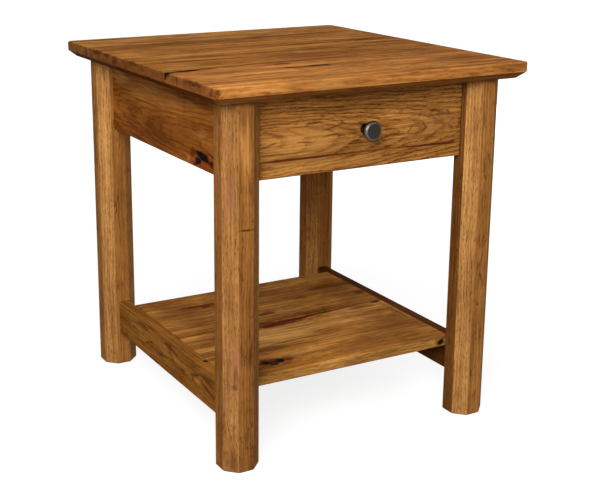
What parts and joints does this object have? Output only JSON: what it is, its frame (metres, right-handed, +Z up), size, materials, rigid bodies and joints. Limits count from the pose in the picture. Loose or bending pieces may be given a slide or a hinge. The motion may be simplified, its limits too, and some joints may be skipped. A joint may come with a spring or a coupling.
{
  "type": "rustic hickory end table",
  "caption": "Rustic solid-wood end table with an inset dovetailed drawer that slides out, eight-sided legs, an under-bevelled top and a lower shelf.",
  "frame": {"origin": "on the floor under the middle of the top", "axes": "+Z up, -Y towards the drawer front, +X to the right as seen from the front"},
  "size_m": [0.565, 0.604, 0.61],
  "materials": {
    "hickory_top": "stained hickory under satin varnish",
    "hickory_leg": "stained hickory under satin varnish",
    "hickory_frame": "stained hickory under satin varnish",
    "hickory_front": "stained hickory under satin varnish",
    "hickory_shelf": "stained hickory under satin varnish",
    "drawer_wood": "light hardwood under clear varnish",
    "inner_wood": "plain planed hardwood",
    "dark_metal": "dark antique bronze, satin",
    "screw_steel": "zinc plated"
  },
  "bodies": {
    "table_frame": {"top_board_1": "hickory_top", "top_board_2": "hickory_top", "top_board_3": "hickory_top", "top_board_4": "hickory_top", "top_board_5": "hickory_top", "leg_front_left": "hickory_leg", "leg_front_right": "hickory_leg", "leg_back_left": "hickory_leg", "leg_back_right": "hickory_leg", "side_apron_left": "hickory_frame", "side_apron_right": "hickory_frame", "back_apron": "hickory_frame", "front_rail_lower": "hickory_frame", "front_rail_upper": "hickory_frame", "drawer_runner_left": "inner_wood", "drawer_runner_right": "inner_wood", "drawer_kicker_left": "inner_wood", "drawer_kicker_right": "inner_wood", "drawer_guide_left": "inner_wood", "drawer_guide_right": "inner_wood", "stretcher_left": "hickory_frame", "stretcher_right": "hickory_frame", "shelf_cleat_left": "inner_wood", "shelf_cleat_right": "inner_wood", "shelf_board_1": "hickory_shelf", "shelf_board_2": "hickory_shelf", "shelf_board_3": "hickory_shelf", "shelf_board_4": "hickory_shelf", "top_buttons": "inner_wood", "guide_screws": "screw_steel", "runner_screws": "screw_steel", "top_screws": "screw_steel", "button_screws": "screw_steel", "cleat_screws": "screw_steel", "shelf_screws": "screw_steel"},
    "drawer": {"drawer_front": "hickory_front", "drawer_box_front": "drawer_wood", "drawer_back": "drawer_wood", "drawer_side_left": "drawer_wood", "drawer_side_right": "drawer_wood", "drawer_bottom": "drawer_wood", "drawer_stop_block": "drawer_wood", "drawer_knob": "dark_metal", "knob_screw": "screw_steel", "drawer_front_screws": "screw_steel", "drawer_stop_screws": "screw_steel"}
  },
  "joints": [
    {"name": "drawer_slide", "type": "slide", "parent": "table_frame", "child": "drawer", "axis": [0, -1, 0], "range_m": [0, 0.327]}
  ]
}
